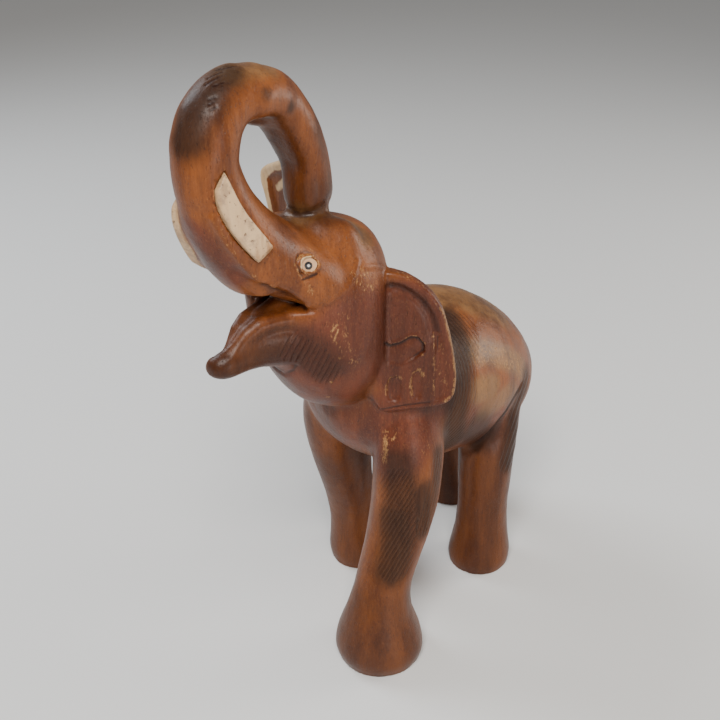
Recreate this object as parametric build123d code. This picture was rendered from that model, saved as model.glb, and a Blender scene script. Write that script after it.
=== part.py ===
"""A carved wooden elephant with a raised, looped trunk: one carved block with inlaid tusks and eyes.

Millimetres. The elephant faces -Y, its left side is +X, +Z is up and its four soles stand on Z = 0.
The finished part is moved so that the middle of its bounding box's underside is the origin.
"""
import math
import os

from build123d import *

# ---- driving dimensions -------------------------------------------------------------------------------
HEIGHT = 400.0  # floor to the top of the trunk's loop
LOOP_HALF = 16.0  # half the trunk's thickness at the top of its loop
LOOP_MIDDLE = HEIGHT - LOOP_HALF
TUSK_THICK = 8.0  # slab thickness, over half of it let into the trunk
TUSK_TURN = 14.0  # degrees each tusk's face is turned forward from square to the middle plane
DOWEL_RADIUS = 2.5
DOWEL_LENGTH = 13.0
DOWEL_START = 9.0  # inner end of each tusk dowel, from the middle plane
EYE_HALF_LENGTH = 5.0  # the almond inlay
EYE_HALF_HEIGHT = 3.9
EYE_DEEP = 3.0
EYE_PROUD = 0.7  # how far the inlay stands out of the socket's plane
BEAD_RADIUS = 2.1
BEAD_DEEP = 2.4
BEAD_PROUD = 1.1
PIN_RADIUS = 0.75
PIN_DEEP = 6.5
PIN_PROUD = 1.5
EAR_FRONT = 3.5  # ear thickness in front of its plane
EAR_BACK = 6.0  # and behind it

UP = (0, 0, 1)
BACKWARD = (0, 1, 0)
ACROSS = Vector(1, 0, 0)

# torso: station along Y, half width, underside, topline
TORSO = [
    (-101, 9, 171, 190),
    (-95, 23, 157, 203),
    (-84, 40, 142, 218),
    (-60, 53, 124, 228),
    (-25, 57, 110, 229),
    (15, 57, 101, 223),
    (46, 52, 97, 209),
    (70, 43, 101, 191),
    (88, 29, 112, 170),
    (97, 14, 128, 151),
]

# head: height, centre along Y, half width, half length
HEAD = [
    (183, -97, 5, 4),
    (187, -97, 14, 13),
    (196, -99, 26, 26),
    (208, -101, 33, 34),
    (220, -103, 37, 39),
    (246, -107, 40, 44),
    (266, -110, 40, 44),
    (284, -110, 37, 40),
    (298, -110, 28, 32),
    (306, -111, 14, 16),
]

# legs, from the sole up: height, centre X, centre Y, half width, half length
FRONT_LEFT_LEG = [
    (0, 39, -96, 27, 28),
    (10, 39, -97, 29.5, 30.5),
    (26, 39, -98, 25.5, 27),
    (50, 39, -96, 19.5, 20.5),
    (78, 39, -85, 19, 21),
    (111, 39, -73, 21, 24),
    (150, 37, -67, 21, 26),
    (178, 32, -62, 19, 24),
    (204, 24, -56, 13, 17),
]
FRONT_RIGHT_LEG = [
    (0, -39, -23, 24, 25),
    (10, -39, -24, 25, 26),
    (26, -40, -27, 21.5, 22.5),
    (51, -41, -33, 18, 19),
    (76, -40, -40, 18, 20),
    (104, -39, -47, 20, 23),
    (150, -36, -55, 21, 26),
    (178, -31, -57, 19, 24),
    (204, -24, -55, 13, 17),
]
REAR_LEFT_LEG = [
    (0, 34, 28.5, 22, 23),
    (12, 34, 29, 23, 23.5),
    (34, 34, 29.5, 19.5, 20),
    (71, 34, 29.5, 19, 20),
    (108, 33, 32, 20, 23),
    (138, 30, 37, 20, 27),
    (160, 25, 41, 18, 24),
    (182, 18, 42, 11, 14),
]
REAR_RIGHT_LEG = [
    (0, -35, 84, 22, 21),
    (12, -35, 84.5, 23, 21.5),
    (34, -36, 82, 19.5, 19.5),
    (71, -36, 76, 19.5, 20.5),
    (108, -34, 64, 21, 25),
    (138, -30, 54, 21, 28),
    (160, -25, 49, 18, 24),
    (182, -18, 45, 11, 14),
]

# trunk, up from inside the face to the top of the loop: Y, Z, half width, half depth
RISING_TRUNK = [
    (-124, 278, 35, 24),
    (-145, 290, 32, 24),
    (-163, 305, 26.5, 23),
    (-177, 323, 22, 20.5),
    (-185, 342, 18.5, 18),
    (-187.5, 361, 17, 16.5),
    (-180.5, 377, 16.5, 16),
    (-165, LOOP_MIDDLE, LOOP_HALF, LOOP_HALF),
]
# and down from there to the tip on the crown
FALLING_TRUNK = [
    (-165, LOOP_MIDDLE, LOOP_HALF, LOOP_HALF),
    (-148, 380.5, 15.5, 15.3),
    (-132, 368, 15, 14.7),
    (-121, 349, 14.3, 14.3),
    (-116, 329, 14, 14),
    (-116.5, 319, 13, 13),
    (-117.5, 312, 10.5, 10.5),
    (-118, 298, 9, 9),
]
TOP_OF_LOOP = (0, 1, 0.06)  # the way the trunk heads where the two runs meet

# lower jaw, a scoop that reaches forward: Y, Z, half width, half depth
JAW = [
    (-118, 246, 30, 26),
    (-140, 248, 24, 20.5),
    (-155, 249.5, 17.5, 18),
    (-166, 249.5, 12.5, 15.5),
    (-176, 247.5, 10.5, 12.5),
    (-185, 245.5, 9.8, 9.8),
    (-191, 244.5, 7.5, 7),
    (-195, 244, 3, 3),
]
# the hollow in the jaw, same columns
SCOOP = [
    (-126, 266, 9, 4),
    (-142, 265, 15, 7),
    (-155, 264, 10, 8),
    (-166, 262, 6.5, 8),
    (-175, 257, 4.5, 5.5),
    (-183, 253, 3, 3.5),
    (-190, 253, 2, 2),
]
# the open mouth seen from the side: Y and Z of the wedge between the lips
MOUTH_WEDGE = [
    (-136, 267.5),
    (-151, 267.5),
    (-163, 266),
    (-171, 262),
    (-178, 256),
    (-185, 251.5),
    (-196, 250.5),
    (-215, 252),
    (-215, 284),
    (-170, 282),
    (-161, 280),
    (-150, 274),
]

# ears: root point, sweep behind the square-on position in degrees, and the outline in the ear's plane
LEFT_EAR_ROOT = (36, -88, 248)
LEFT_EAR_SWEEP = 40
LEFT_EAR = [
    (-10, -40),
    (-9, 6),
    (-4, 28),
    (6, 28.5),
    (14.5, 24.6),
    (23, 18),
    (29.2, 9.6),
    (33, 0),
    (38, -20.8),
    (40.5, -37.7),
    (39.4, -51),
    (34.7, -56.5),
    (24.9, -59),
    (8, -61),
    (-6, -60),
]
RIGHT_EAR_ROOT = (-36, -92, 262)
RIGHT_EAR_SWEEP = 10
RIGHT_EAR = [
    (-12, -24),
    (-10, 10),
    (-6, 42),
    (-2, 61),
    (5, 65.5),
    (15, 62.5),
    (24, 58.5),
    (29, 54),
    (29, 47),
    (26, 40.5),
    (22.5, 31),
    (20, 20),
    (18, 6),
    (15, -10),
    (9, -23),
    (1, -30),
    (-8, -30),
]

# tail, lying against the rump: Y, Z, radius
TAIL = [(78, 184, 6), (89, 174, 5), (96.5, 158, 4.5), (98, 140, 4), (95, 122, 4), (91, 108, 6), (89, 97, 3)]

# tusks along their middles, from the lower end: X, Y, Z, width; the right one sits lower on the trunk
LEFT_TUSK = [
    (24.6, -173.2, 309.8, 10.6),
    (22.9, -178.1, 317.2, 11.8),
    (18.6, -186.3, 331.3, 11.4),
    (15.8, -190.5, 344.4, 9.4),
    (13.6, -190.4, 355.5, 3.6),
]
RIGHT_TUSK = [
    (-24, -170.7, 292.4, 10.6),
    (-23.2, -176.3, 300.2, 11.8),
    (-19.4, -185.6, 314.3, 11.4),
    (-16.4, -191.4, 327.3, 9.4),
    (-13.8, -192.6, 338, 3.6),
]
# where each tusk dowel crosses its tusk: Y and Z
LEFT_DOWEL = (-182.6, 325)
RIGHT_DOWEL = (-181.4, 308)

# left eye: where it sits and which way it looks
EYE_AT = (29.5, -148, 298)
EYE_LOOKS = (0.9, -0.3, 0.25)
EYE_TILT = -12  # the almond's long axis, turned about the way it looks


def ring(centre, normal, half_width, half_depth):
    """An elliptical section whose first axis lies across the elephant."""
    return Plane(origin=centre, x_dir=(1, 0, 0), z_dir=normal) * Ellipse(half_width, half_depth)


def torso():
    return loft(
        [ring((0, y, (low + high) / 2), BACKWARD, half, (high - low) / 2) for y, half, low, high in TORSO]
    )


def skull():
    return loft([ring((0, y, z), UP, half, long) for z, y, half, long in HEAD])


def leg(sections):
    return loft([ring((x, y, z), UP, wide, long) for z, x, y, wide, long in sections])


def tube(stations, start=None, end=None):
    """Rings square to a smooth path in the middle plane; start and end can fix its outermost directions."""
    path = Spline([(0, y, z) for y, z, _, _ in stations])
    headings = [path.tangent_at(path.param_at_point((0, y, z))) for y, z, _, _ in stations]
    headings[0] = start or headings[0]
    headings[-1] = end or headings[-1]
    return loft(
        [ring((0, y, z), along, wide, deep) for (y, z, wide, deep), along in zip(stations, headings)]
    )


def forward_scoop(stations):
    """Upright rings stacked along Y."""
    return loft([ring((0, y, z), BACKWARD, wide, deep) for y, z, wide, deep in stations])


def mouth():
    """The gap between the lips, with the hollow of the lower jaw."""
    outline = Plane.YZ * make_face(Polyline(*MOUTH_WEDGE, close=True))
    wedge = extrude(outline, amount=70, both=True)
    return wedge + forward_scoop(SCOOP)


def ear(root, sweep, outline, side):
    """A plate that stands out from the head on one side (+1 left, -1 right)."""
    angle = math.radians(sweep)
    outward = Vector(side * math.cos(angle), math.sin(angle), 0)
    front = Vector(side * math.sin(angle), -math.cos(angle), 0)
    edge = Spline(*outline, periodic=True)
    normal = outward.cross(Vector(UP))
    plane = Plane(origin=root, x_dir=outward, z_dir=normal)
    toward_front = normal.dot(front)
    face = plane * make_face(edge)
    return extrude(face, amount=EAR_FRONT * toward_front) + extrude(face, amount=-EAR_BACK * toward_front)


def tail():
    return tube([(y, z, radius, radius) for y, z, radius in TAIL])


def tusk(stations, side):
    """A curved slab with rounded edges that narrows to its upper tip."""
    path = Spline([(x, y, z) for x, y, z, _ in stations])
    facing = ACROSS.rotate(Axis.Z, -side * TUSK_TURN)
    sections = []
    for x, y, z, width in stations:
        along = path.tangent_at(path.param_at_point((x, y, z)))
        outward = (facing - along * facing.dot(along)).normalized()
        plane = Plane(origin=(x, y, z), x_dir=outward, z_dir=along)
        thick = TUSK_THICK if width > 8 else TUSK_THICK * 0.6
        sections.append(plane * RectangleRounded(thick, width, 1.6))
    return loft(sections)


def tusk_dowel(place, side):
    y, z = place
    plane = Plane(origin=(side * DOWEL_START, y, z), x_dir=BACKWARD, z_dir=ACROSS * side)
    return extrude(plane * Circle(DOWEL_RADIUS), amount=DOWEL_LENGTH)


def eye_plane():
    return Plane(origin=EYE_AT, x_dir=BACKWARD, z_dir=EYE_LOOKS).rotated((0, 0, EYE_TILT))


def eye_peg(shape, deep, proud):
    """A flat-ended peg along the way the left eye looks."""
    return extrude(eye_plane().offset(-deep) * shape, amount=deep + proud)


def almond():
    """The inlay's outline: an ellipse drawn to a point at both corners."""
    half = EYE_HALF_LENGTH
    top = ThreePointArc((-half, 0), (0, EYE_HALF_HEIGHT), (half, 0))
    bottom = ThreePointArc((half, 0), (0, -EYE_HALF_HEIGHT), (-half, 0))
    return make_face([top, bottom])


def mirrored(solid):
    return mirror(solid, about=Plane.YZ)


def carve():
    """The carved block before anything is let into it."""
    head = tube(RISING_TRUNK, end=TOP_OF_LOOP) + skull()
    head += tube(FALLING_TRUNK, start=TOP_OF_LOOP)
    head += forward_scoop(JAW)
    head -= mouth()
    head += ear(LEFT_EAR_ROOT, LEFT_EAR_SWEEP, LEFT_EAR, 1)
    head += ear(RIGHT_EAR_ROOT, RIGHT_EAR_SWEEP, RIGHT_EAR, -1)
    carved = torso() + tail()
    for sections in (FRONT_LEFT_LEG, FRONT_RIGHT_LEG, REAR_LEFT_LEG, REAR_RIGHT_LEG):
        carved += leg(sections)
    return carved + head


def build():
    """Every piece by name, still about the elephant's own middle plane."""
    dowels = {"left": tusk_dowel(LEFT_DOWEL, 1), "right": tusk_dowel(RIGHT_DOWEL, -1)}
    slabs = {"left": tusk(LEFT_TUSK, 1), "right": tusk(RIGHT_TUSK, -1)}
    white = eye_peg(almond(), EYE_DEEP, EYE_PROUD)
    bead = eye_peg(Circle(BEAD_RADIUS), BEAD_DEEP, BEAD_PROUD)
    pin = eye_peg(Circle(PIN_RADIUS), PIN_DEEP, PIN_PROUD)
    eyes = {"eye_white": white - bead - pin, "eye_bead": bead - pin, "eye_pin": pin}

    carved = carve()
    for inlay in (white, bead, pin):
        carved = carved - inlay - mirrored(inlay)
    for inlay in (*slabs.values(), *dowels.values()):
        carved -= inlay

    pieces = {"carved_body": carved}
    for side in ("left", "right"):
        pieces["tusk_" + side] = slabs[side] - dowels[side]
        pieces["tusk_dowel_" + side] = dowels[side]
    for name, solid in eyes.items():
        pieces[name + "_left"] = solid
        pieces[name + "_right"] = mirrored(solid)
    return pieces


def centred(pieces):
    """Move every piece so that the whole part's box stands centred on the origin."""
    box = Compound(children=[Compound([piece]) for piece in pieces.values()]).bounding_box()
    middle = box.center()
    shift = Location((-middle.X, -middle.Y, -box.min.Z))
    print("shift", shift.position)
    return {name: shift * piece for name, piece in pieces.items()}


os.makedirs("parts", exist_ok=True)
for node, piece in centred(build()).items():
    print(node, type(piece).__name__, len(piece.solids()), round(piece.volume, 1))
    export_step(piece, f"parts/{node}.step")
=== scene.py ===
"""The looks of the carved wooden elephant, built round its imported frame.

The scene is in metres. The tables below are in millimetres about the elephant's own middle plane: it faces
-Y, its left is +X and its soles are at Z = 0. elephant_place() and scene_place() go between the two.
"""

import math
import bpy
import numpy as np
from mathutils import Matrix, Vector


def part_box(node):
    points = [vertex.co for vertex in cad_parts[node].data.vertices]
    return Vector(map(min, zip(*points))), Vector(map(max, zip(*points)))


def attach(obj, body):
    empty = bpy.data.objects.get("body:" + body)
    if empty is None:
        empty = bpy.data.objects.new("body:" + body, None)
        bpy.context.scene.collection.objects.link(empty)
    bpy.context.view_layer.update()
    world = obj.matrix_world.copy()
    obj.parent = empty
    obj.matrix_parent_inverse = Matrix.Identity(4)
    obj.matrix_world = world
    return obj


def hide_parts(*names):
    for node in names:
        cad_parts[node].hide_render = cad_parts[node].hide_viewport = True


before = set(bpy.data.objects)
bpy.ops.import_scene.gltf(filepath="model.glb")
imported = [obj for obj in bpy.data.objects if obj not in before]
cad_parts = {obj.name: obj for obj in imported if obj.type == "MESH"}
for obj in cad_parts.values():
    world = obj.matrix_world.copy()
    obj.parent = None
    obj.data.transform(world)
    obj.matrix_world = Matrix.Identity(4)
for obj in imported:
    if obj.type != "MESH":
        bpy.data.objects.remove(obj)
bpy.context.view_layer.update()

import openvdb
from mathutils import Vector

# ---- where the elephant's middle plane lies in the frame ----
LEFT_DOWEL_Y = -182.6  # the left tusk dowel's place along the elephant


def middle_of(node):
    low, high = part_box(node)
    return np.array((low + high) / 2) * 1000.0


BETWEEN_EYES = (middle_of("eye_pin_left")[0] + middle_of("eye_pin_right")[0]) / 2
MIDDLE = np.array([BETWEEN_EYES, middle_of("tusk_dowel_left")[1] - LEFT_DOWEL_Y, 0.0])


def elephant_place(metres):
    return np.asarray(metres, float) * 1000.0 - MIDDLE


def scene_place(millimetres):
    return (np.asarray(millimetres, float) + MIDDLE) / 1000.0


# ---- camera: a phone held a little above the head, off the left shoulder ----
CAMERA_PLACE = (366.3, -496.6, 499.4)
CAMERA_AZIMUTH = 40.8
CAMERA_PITCH = 28.0
CAMERA_LENS = 50.0
CAMERA_SENSOR = 36.0
CAMERA_NEAREST = 0.01  # metres

# ---- studio, in metres and watts ----
# each soft lamp: its place, the height it points at above the origin, its size, power and colour
LAMPS = [
    ("key", (0.6, -0.9, 1.4), 0.2, 0.7, 32.0, (1.0, 0.96, 0.90)),
    ("window", (-1.2, -0.2, 1.2), 0.25, 0.8, 16.0, (0.88, 0.94, 1.0)),
    ("back", (0.8, 1.2, 0.5), 0.2, 0.7, 11.0, (1.0, 0.97, 0.9)),
    ("side", (1.3, -0.3, 0.14), 0.22, 0.4, 4.0, (1.0, 0.96, 0.92)),
]
ROOM_LIGHT = 0.27
FLOOR_SIZE = 12.0
FLOOR_GREY = 0.74

# ---- carving ----
WOOD_VOXEL = 0.9
INLAY_VOXEL = 0.45
BAND = 9  # voxels of distance kept on each side of a surface
MARGIN = 6  # empty voxels round a solid
GOUGE_DEPTH = 0.45  # of the strokes in the hatched patches
GOUGE_REACH = 18.0
GOUGE_SHELL = 6.0  # only this near the surface
HATCH_FULL = 0.4  # the share of a hatched patch's reach that is cut at full depth
CUT_REACH = 2.5  # how far a groove is felt, in half widths
NICK_HALF = 0.7
NICK_DEPTH = 0.6
UNDULATIONS = [(15.0, 0.3), (6.0, 0.14)]  # the knife's unevenness: size across, height
ROUNDING = 2.8  # how far the joints between the masses are smoothed, as a blur radius
CRISP_ROUNDING = 1.0
BED_GAP = 0.15  # round the inlays
TUSK_PROUD = 1.4  # how far the tusks stand out of the wood
TUSK_SINK = 3.6  # the plain beds are filled this far in, and cut again once the wood is smooth
EYE_SINK = 1.0
LIP_BLEND = 2.5  # how widely each added mass runs into the wood
TONGUE_BLEND = 3.0
LOOP_BLEND = 3.0
FOREHEAD_BLEND = 7.0
LID_BLEND = 1.2
RIGHT_LIP = 0.6  # the right lip lies nearer the middle than the left, by this factor

# rolls, as places with a radius: the lower lip from its corner to its tip
LOWER_LIP = [
    (21, -138, 261.5, 5.5),
    (15.5, -146, 262.5, 5.5),
    (11.5, -156, 263, 5),
    (8, -165, 262.3, 5),
    (6, -172, 258.5, 5),
    (4, -179, 252.5, 4.5),
    (1, -186, 249, 4),
]

# the tongue, between the lips
TONGUE = [
    (5, -134, 265, 8.5),
    (4, -146, 264, 8.5),
    (2.5, -158, 260, 8),
    (1, -168, 256.5, 7),
    (0, -178, 251, 5),
]

# the top of the trunk's loop, made round where its two runs meet
LOOP_TOP = [
    (0, -186.5, 365, 15.9),
    (0, -182, 375.3, 15.7),
    (0, -174.5, 381.2, 15.7),
    (0, -165, 383.8, 15.7),
    (0, -155, 383.2, 15.5),
    (0, -147, 379.8, 15.2),
]

# the dome of the forehead that the trunk's tip lies behind
FOREHEAD = [(-16, -122, 298, 11.5), (-2, -124, 301, 12.5), (10, -120, 301.5, 12.5), (18, -112, 299, 12)]

# the inner side of the loop's falling run
LOOP_HOLLOW = [(6, -154, 368), (3, -145, 361), (2, -139, 351), (1, -133, 342)]

# grooves and raised lines cut with the knife: line, half width, depth (negative stands proud)
CUTS = [
    # round the trunk's tip, where it rests on the crown
    ([(13.5, -117, 317), (11, -123.5, 315.5), (5, -128, 314.5), (-4, -129.5, 315)], 2.4, 2.4),
    ([(15, -111, 320), (13.5, -117, 317)], 4.5, 1.6),
    ([(-4, -129.5, 315), (-11, -126, 316), (-13.5, -116, 317)], 2.2, 2.2),
    ([(14.5, -112, 320), (9, -105, 315), (0, -102.5, 313), (-9, -105, 314), (-13.5, -116, 317)], 2.0, 2.0),
    # the inner side of the loop's top and of its falling run
    ([(9, -166, 370.5), (7, -156, 368.5)], 7, 3.0),
    (LOOP_HOLLOW, 8, 4.5),
    # where the belly hangs over the left thigh
    ([(26, 8, 101), (37, 10, 111), (44, 14, 121), (52, 17, 136), (55, 27, 147), (54, 40, 154)], 2.6, 3.2),
    ([(34, 20, 104), (45, 22, 116), (54, 27, 130), (56, 36, 143)], 8, 2.6),
    # the edge that runs below the left tusk and on along the upper lip, and the valley in front of it
    (
        [
            (13, -196, 332), (16, -190, 318), (18, -186, 311),
            (19, -181, 303), (20, -174, 295), (22, -167, 290),
        ],
        2.4,
        -1.3,
    ),
    ([(22, -167, 290), (23, -160, 282), (26, -150, 275), (23, -139, 268)], 2.0, -1.0),
    ([(9, -200, 335), (11, -195, 318), (12, -189, 305), (14, -182, 295)], 4.5, 1.2),
    # facets of the cheek
    ([(32, -137, 273), (35, -132, 276), (36, -125, 279), (36, -118, 285), (34, -113, 291)], 1.3, -0.9),
    ([(35, -112, 287), (36, -103, 285), (33, -90, 280)], 1.3, -0.9),
    # the tear line
    ([(30, -151, 289), (32, -143, 277), (31, -137, 271)], 0.8, 0.5),
    # the right lip is thinner than the left
    ([(-16, -156, 264), (-14, -163, 263), (-12, -170, 259), (-9.5, -177, 254), (-7, -183, 250)], 6.5, 6.0),
    # the upper lip lifts in front of the corner of the mouth
    ([(18.5, -169, 288.5), (20, -158, 282), (21.5, -149, 275)], 4.5, 4.3),
    ([(14, -183, 297), (17, -175, 291)], 4.5, 2.2),
    # swell of the cheek
    ([(36, -121, 236)], 9, -2.2),
    # the tail's upper end sinks into the rump
    ([(0, 85, 189), (0, 92, 181)], 5, 3.5),
    # fold of the throat
    ([(-8, -143, 225), (-3, -143, 223), (3, -143, 221), (11, -143, 227), (14, -144, 231)], 1.6, 1.3),
]

# nicks across the top of the trunk
NICKS = [
    [(2, -186, 393), (5, -177, 397)],
    [(0, -182, 395), (3, -175, 398)],
    [(6, -184, 393), (8, -179, 394)],
    [(-1, -175, 398), (2, -172, 399), (4, -167, 399)],
    [(8, -189, 388), (10, -186, 389)],
    [(9, -190, 386), (11, -187, 388)],
    [(11, -191, 384), (12, -188, 385)],
]

# stains, and painted shade and sheen: line, reach at full strength, fade beyond it, strength
SCORCHES_AND_SHADE = [
    ([(4, -202, 372), (3, -198, 380), (3, -192, 388), (3, -185, 393), (4, -177, 397)], 3, 17, 1.0),
    ([(11, -194, 380), (12, -184, 388)], 1, 12, 0.6),
    ([(17, -160, 387)], 1.0, 6, 0.7),
    ([(15, -142, 377)], 1, 5, 0.7),
    # painted shade on the left side of the trunk's falling run
    ([(16, -122, 362), (17, -112, 340), (16, -108, 325)], 1, 10, 0.5),
    ([(50, -96, 112), (52, -95, 98), (52, -101, 78)], 4, 20, 0.95),
    ([(46, -91, 150), (50, -91, 132), (52, -92, 112)], 5, 17, 0.75),
    ([(58, -78, 128), (59, -77, 102)], 4, 14, 0.8),
    ([(58, -62, 150), (59, -66, 130), (60, -72, 110)], 3, 9, 0.7),
    (
        [(31, -20, 219), (43, -26, 209), (51, -34, 197), (56, -41, 180), (56, -43, 160), (50, -36, 142)],
        5,
        17,
        0.95,
    ),
    ([(57, -18, 148), (50, -6, 132), (44, 8, 121)], 5, 20, 0.75),
    # painted shade along the crease where the belly hangs over the left thigh
    ([(54, 37, 151), (54, 27, 145), (52, 17, 136), (44, 14, 121), (37, 10, 111)], 1, 9, 0.95),
    ([(55, 50, 158), (53, 44, 141), (52, 36, 120), (53, 32, 96)], 3, 16, 0.85),
    # painted shade under that crease
    ([(40, 14, 114), (50, 18, 128)], 2, 12, 0.7),
    ([(22, -146, 243), (28, -135, 230)], 4, 18, 0.5),
    ([(3, -193, 248), (8, -189, 245)], 5, 10, 0.5),
    ([(10, -175, 246), (16, -160, 246)], 3, 10, 0.4),
    # painted contact shadow where the trunk's tip rests on the crown
    ([(-6, -112, 312), (4, -118, 314)], 4, 6, 0.6),
]
# faded olive-gold stain, laid as painted sheen on the top of the back, the trunk and the crown, and as
# painted highlights along the rump and the belly
OLIVE_STAINS_AND_SHEEN = [
    ([(3, 13, 223), (20, 14, 219), (27, 40, 205)], 8, 18, 0.8),
    ([(0, -30, 228), (0, 60, 214)], 16, 22, 0.8),
    ([(48, -13, 201), (50, 1, 195), (52, 16, 186), (52, 40, 168)], 4, 12, 0.75),
    ([(57, -19, 177), (57, -5, 173)], 5, 12, 0.8),
    ([(57, -11, 159), (57, 6, 159), (56, 22, 158)], 4, 12, 0.7),
    ([(4, -172, 400), (3, -150, 398)], 4, 14, 0.8),
    ([(3, -126, 312), (10, -106, 306), (24, -100, 300)], 4, 13, 0.8),
]
PLUM_STAINS = [
    ([(30, -116, 245), (20, -130, 225), (10, -140, 215)], 18, 34, 0.9),
    ([(46, -80, 240), (58, -66, 205)], 24, 22, 0.9),
    ([(40, -90, 165), (50, -80, 185)], 14, 30, 0.8),
    ([(0, -100, 170)], 20, 26, 0.7),
    ([(0, -200, 320), (8, -186, 298)], 6, 14, 0.7),
    ([(56, -10, 150), (50, 5, 130)], 14, 30, 0.6),
]
# painted shade inside the mouth, under the trunk's loop, round its tip, beside the left ear and under the
# belly; and the legs darker towards the feet
SHADED_AND_DARKER_PARTS = [
    ([(34, 28, 0), (34, 28, 80)], 30, 16, 0.8),
    ([(-35, 84, 0), (-35, 70, 90)], 36, 16, 0.9),
    ([(-39, -23, 0), (-40, -40, 90)], 32, 20, 0.75),
    ([(39, -97, 0), (39, -97, 20)], 36, 22, 0.85),
    ([(0, -170, 262), (0, -150, 262), (0, -135, 266)], 8, 5, 1.0),
    ([(46, -80, 240), (58, -66, 205)], 22, 12, 0.5),
    ([(10, -185, 248), (20, -150, 246), (26, -136, 236)], 10, 12, 0.9),
    ([(-12, -108, 330), (-12, -116, 350)], 8, 10, 0.5),
    ([(11, -122, 320), (-4, -130, 322), (-8, -128, 340)], 8, 16, 1.0),
    ([(-6, -162, 262), (-7, -150, 264)], 4, 5, 0.8),
    ([(44, 30, 120), (46, 40, 100)], 8, 18, 0.6),
    ([*LOOP_HOLLOW, (-1, -131, 336)], 7, 11, 0.8),
    ([(10, -168, 370)], 5, 9, 0.5),
]
# pale worn spots and lines; the rump band and the cheek streaks are painted sheen
RUBS_AND_SHEEN = [
    ([(33, -134, 255), (34.5, -132, 259)], 0.3, 0.9, 1.0),
    ([(33, -133, 248), (35, -131, 256)], 0.3, 0.9, 1.0),
    ([(34, -121, 225)], 0.5, 0.8, 1.0),
    ([(27, -129, 219)], 0.6, 1.0, 1.0),
    ([(21, -125, 205)], 0.8, 1.2, 0.9),
    ([(36, -90.5, 170), (37, -91, 164), (37, -91.5, 156), (37.5, -92, 151)], 1.0, 3.0, 0.85),
    ([(43, -86, 171), (40, -88.5, 166)], 0.3, 2.0, 0.8),
    ([(56, -74, 158)], 2, 7, 0.4),
    # painted highlight along the rump
    ([(49, -17, 199), (50, -5, 196), (52, 10, 188), (53, 29, 177), (52, 43, 163)], 4, 11, 0.52),
    # painted sheen on the cheek
    ([(34, -132, 261), (35, -127, 245), (36, -122, 234)], 3, 8, 0.4),
    ([(37, -114, 282), (38, -107, 276)], 4, 5, 0.5),
    ([(6, -112, 309), (22, -108, 302)], 3, 9, 0.35),
    ([(36, -130, 283), (35, -119, 287), (35, -108, 289)], 0.2, 1.4, 0.5),
]
# pale wood left almost bare: the right ear's broad rim
BARE = [
    ([(-41, -91, 326), (-51, -89, 323), (-60, -88, 318), (-64, -87, 312)], 3.5, 2.5, 1.0),
    ([(-64, -87, 312), (-62, -87, 304), (-59, -88, 295), (-56, -89, 284), (-54, -89, 274)], 4.5, 2.5, 1.0),
    ([(-43, -92, 314), (-50, -91, 309)], 1, 4, 0.75),
    ([(-39, -95, 300), (-38, -96, 288)], 0.3, 1.6, 0.8),
]
NICK_SHADE = (0.1, 0.9, 0.9)  # reach, fade and strength of the painted shade in the nicks
BEND_RADIUS = 1.6  # edges of about this size are worn pale, and hollows of this size get painted shade
WORN_BENDS = (0.15, 0.8)
SHADED_BENDS = (0.12, 0.8)
EDGE_WEAR = 0.6
# gouge strokes: line, reach, direction across the strokes, spacing
HATCHES = [
    ([(20, -150, 246), (25, -141, 238), (27, -132, 226)], 12, (0.81, 0.39, -0.44), 2.9),
    ([(47, -92, 136), (52, -94, 105), (53, -98, 80)], 16, (0.81, 0.39, -0.44), 2.5),
    ([(59, -64, 142), (60, -70, 122), (60, -76, 104)], 11, (0.27, 0.9, -0.29), 2.8),
    ([(54, 48, 150), (52, 38, 120), (53, 32, 96)], 14, (0.81, 0.51, -0.27), 3.2),
]
# the strokes behind the left ear run round this point of the flank, Y and Z
FLANK_STROKES = ([(36, -12, 214), (52, -29, 196), (56, -38, 170), (50, -30, 140)], 16, (-78, 200), 3.1)

LEFT_EAR = {
    "root": (36, -88, 248),
    "sweep": 40,
    "side": 1,
    "clear": -3.0,
    "outline": [
        (-10, -40), (-9, 6), (-4, 28), (6, 28.5), (14.5, 24.6), (23, 18), (29.2, 9.6), (33, 0),
        (38, -20.8), (40.5, -37.7), (39.4, -51), (34.7, -56.5), (24.9, -59), (8, -61), (-6, -60),
    ],
}
RIGHT_EAR = {
    "root": (-36, -92, 262),
    "sweep": 10,
    "side": -1,
    "clear": 2.0,
    "outline": [
        (-12, -24), (-10, 10), (-6, 42), (-2, 61), (5, 65.5), (15, 62.5), (24, 58.5), (29, 54),
        (29, 47), (26, 40.5), (22.5, 31), (20, 20), (18, 6), (15, -10), (9, -23), (1, -30),
        (-8, -30),
    ],
}
EAR_THICK_BACK = 5.5
EAR_BACK_TAPER = (30.0, 1.5)  # by this far out, the back comes this much nearer
EAR_BACK_ROUND = 1.5
EAR_EDGE_ROUND = 2.0
EAR_REACH = np.array([62, 62, 75])  # of an ear's grid round its root, on each side
EAR_HALF_DEPTH = 14.0  # worked out only this near an ear's plane
EAR_BLEND = 1.2
EAR_BEGINS = -6.0  # inside the head
RIM_STARTS = -4.0  # how far out from its root an ear's free edge begins
FAR = 30.0  # a distance beyond any that matters
# the space cleared in front of a carved ear: from the plane and forward, out from the root
CLEARED_FORWARD = (-3.0, 13.0)
CLEARED_FROM = -8.0
CLEARED_DEPTH = 11.0
CLEARED_PAST_RIM = 3.0

# across the ears' front faces, as (place in from the rim, half width, height)
LEFT_FACE = 2.6  # of the plain face in front of the ear's plane
LEFT_RIM = (3.0, 3.4, 0.9)
LEFT_RIM_LEAST = 0.3  # the rim's height where it runs out below
LEFT_CHANNEL = (8.8, 2.8, -1.9)
RIGHT_FACE = 2.2
RIGHT_RIM = (2.0, 2.4, 1.4)
RIGHT_CUP = 1.6
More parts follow.
